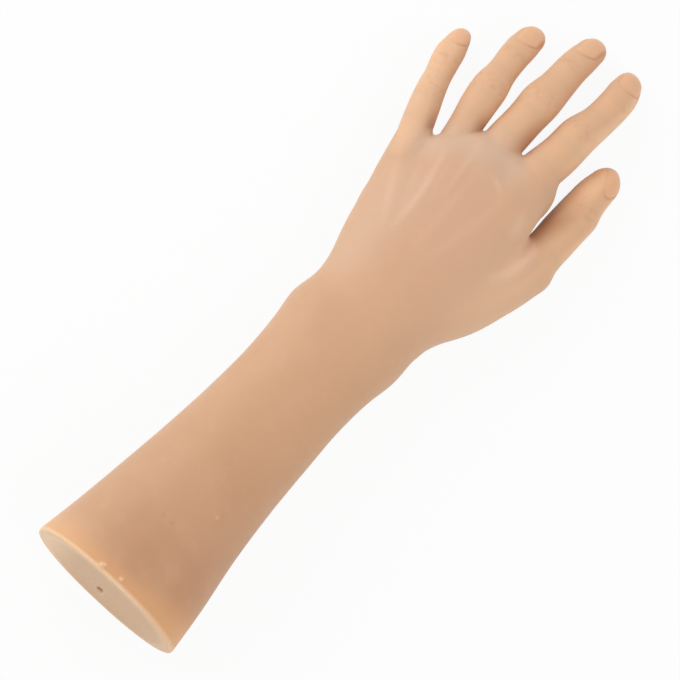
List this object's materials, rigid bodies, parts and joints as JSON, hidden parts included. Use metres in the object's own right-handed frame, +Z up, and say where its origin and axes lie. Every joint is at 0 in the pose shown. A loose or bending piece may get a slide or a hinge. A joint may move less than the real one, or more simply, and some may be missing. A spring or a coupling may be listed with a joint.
{
  "type": "practice hand",
  "caption": "Soft life-size left hand and forearm for practising on, lying palm down, cut off flat below the elbow, with fingers and thumb that bend and stay where they are put.",
  "frame": {"origin": "middle of the flat cut end of the forearm", "axes": "+Y along the forearm to the fingertips, +X to the thumb side, +Z up out of the back of the hand"},
  "size_m": [0.1247, 0.3917, 0.074],
  "materials": {
    "silicone_skin": "satin silicone, mottled pink and tan",
    "silicone_core": "matte cut silicone",
    "armature_aluminium": "milled",
    "fastener_steel": "plain turned"
  },
  "bodies": {
    "root": {"arm_skin": "silicone_skin", "arm_core": "silicone_core", "forearm_rod": "armature_aluminium", "wrist_block": "armature_aluminium", "rod_set_screw": "fastener_steel", "palm_plate": "armature_aluminium", "plate_screw_left": "fastener_steel", "plate_screw_right": "fastener_steel", "index_bracket": "armature_aluminium", "middle_bracket": "armature_aluminium", "ring_bracket": "armature_aluminium", "little_bracket": "armature_aluminium", "thumb_bracket": "armature_aluminium", "index_rivet": "fastener_steel", "middle_rivet": "fastener_steel", "ring_rivet": "fastener_steel", "little_rivet": "fastener_steel", "thumb_rivet": "fastener_steel", "index_knuckle_pin": "fastener_steel", "middle_knuckle_pin": "fastener_steel", "ring_knuckle_pin": "fastener_steel", "little_knuckle_pin": "fastener_steel", "thumb_knuckle_pin": "fastener_steel"},
    "index_proximal": {"index_proximal_bone": "armature_aluminium", "index_proximal_skin": "silicone_skin", "index_middle_pin": "fastener_steel"},
    "index_middle": {"index_middle_bone": "armature_aluminium", "index_middle_skin": "silicone_skin", "index_tip_pin": "fastener_steel"},
    "index_tip": {"index_tip_bone": "armature_aluminium", "index_tip_skin": "silicone_skin"},
    "middle_proximal": {"middle_proximal_bone": "armature_aluminium", "middle_proximal_skin": "silicone_skin", "middle_middle_pin": "fastener_steel"},
    "middle_middle": {"middle_middle_bone": "armature_aluminium", "middle_middle_skin": "silicone_skin", "middle_tip_pin": "fastener_steel"},
    "middle_tip": {"middle_tip_bone": "armature_aluminium", "middle_tip_skin": "silicone_skin"},
    "ring_proximal": {"ring_proximal_bone": "armature_aluminium", "ring_proximal_skin": "silicone_skin", "ring_middle_pin": "fastener_steel"},
    "ring_middle": {"ring_middle_bone": "armature_aluminium", "ring_middle_skin": "silicone_skin", "ring_tip_pin": "fastener_steel"},
    "ring_tip": {"ring_tip_bone": "armature_aluminium", "ring_tip_skin": "silicone_skin"},
    "little_proximal": {"little_proximal_bone": "armature_aluminium", "little_proximal_skin": "silicone_skin", "little_middle_pin": "fastener_steel"},
    "little_middle": {"little_middle_bone": "armature_aluminium", "little_middle_skin": "silicone_skin", "little_tip_pin": "fastener_steel"},
    "little_tip": {"little_tip_bone": "armature_aluminium", "little_tip_skin": "silicone_skin"},
    "thumb_proximal": {"thumb_proximal_bone": "armature_aluminium", "thumb_proximal_skin": "silicone_skin", "thumb_tip_pin": "fastener_steel"},
    "thumb_tip": {"thumb_tip_bone": "armature_aluminium", "thumb_tip_skin": "silicone_skin"}
  },
  "joints": [
    {"name": "index_knuckle", "type": "hinge", "parent": "root", "child": "index_proximal", "pos_m": [0.0155, 0.31161, -0.013], "axis": [-0.9978, 0.0663, 0], "range_deg": [-5, 40]},
    {"name": "index_middle_hinge", "type": "hinge", "parent": "index_proximal", "child": "index_middle", "pos_m": [0.01752, 0.34203, -0.01567], "axis": [-0.9951, 0.0992, -0.0029], "range_deg": [-9, 46]},
    {"name": "index_end_hinge", "type": "hinge", "parent": "index_middle", "child": "index_tip", "pos_m": [0.02022, 0.36896, -0.02242], "axis": [-0.9992, -0.0277, 0.0287], "range_deg": [-9, 26]},
    {"name": "middle_knuckle", "type": "hinge", "parent": "root", "child": "middle_proximal", "pos_m": [-0.0079, 0.31151, -0.013], "axis": [-0.9999, -0.0105, 0], "range_deg": [-5, 40]},
    {"name": "middle_middle_hinge", "type": "hinge", "parent": "middle_proximal", "child": "middle_middle", "pos_m": [-0.00821, 0.341, -0.01558], "axis": [-1, 0.0069, -0.0015], "range_deg": [-9, 46]},
    {"name": "middle_end_hinge", "type": "hinge", "parent": "middle_middle", "child": "middle_tip", "pos_m": [-0.00802, 0.367, -0.02206], "axis": [-0.9983, 0.056, -0.0138], "range_deg": [-9, 26]},
    {"name": "ring_knuckle", "type": "hinge", "parent": "root", "child": "ring_proximal", "pos_m": [-0.0282, 0.30211, -0.013], "axis": [-0.9895, -0.1444, 0], "range_deg": [-5, 40]},
    {"name": "ring_middle_hinge", "type": "hinge", "parent": "ring_proximal", "child": "ring_middle", "pos_m": [-0.03198, 0.32804, -0.01529], "axis": [-0.9959, -0.0908, -0.0047], "range_deg": [-9, 46]},
    {"name": "ring_end_hinge", "type": "hinge", "parent": "ring_middle", "child": "ring_tip", "pos_m": [-0.03397, 0.35007, -0.02081], "axis": [-0.9988, -0.0452, -0.0161], "range_deg": [-9, 26]},
    {"name": "little_knuckle", "type": "hinge", "parent": "root", "child": "little_proximal", "pos_m": [-0.0465, 0.28622, -0.013], "axis": [-0.9426, -0.3338, 0], "range_deg": [-7, 38]},
    {"name": "little_middle_hinge", "type": "hinge", "parent": "little_proximal", "child": "little_middle", "pos_m": [-0.05352, 0.30606, -0.01558], "axis": [-0.9639, -0.2661, -0.0087], "range_deg": [-9, 46]},
    {"name": "little_end_hinge", "type": "hinge", "parent": "little_middle", "child": "little_tip", "pos_m": [-0.05816, 0.32303, -0.02062], "axis": [-0.9851, -0.1677, -0.0374], "range_deg": [-9, 26]},
    {"name": "thumb_knuckle", "type": "hinge", "parent": "root", "child": "thumb_proximal", "pos_m": [0.045, 0.281, -0.018], "axis": [-1, 0.0087, 0], "range_deg": [-5, 35]},
    {"name": "thumb_end_hinge", "type": "hinge", "parent": "thumb_proximal", "child": "thumb_tip", "pos_m": [0.0453, 0.31514, -0.02219], "axis": [-0.9988, -0.0484, 0.007], "range_deg": [-5, 45]}
  ]
}
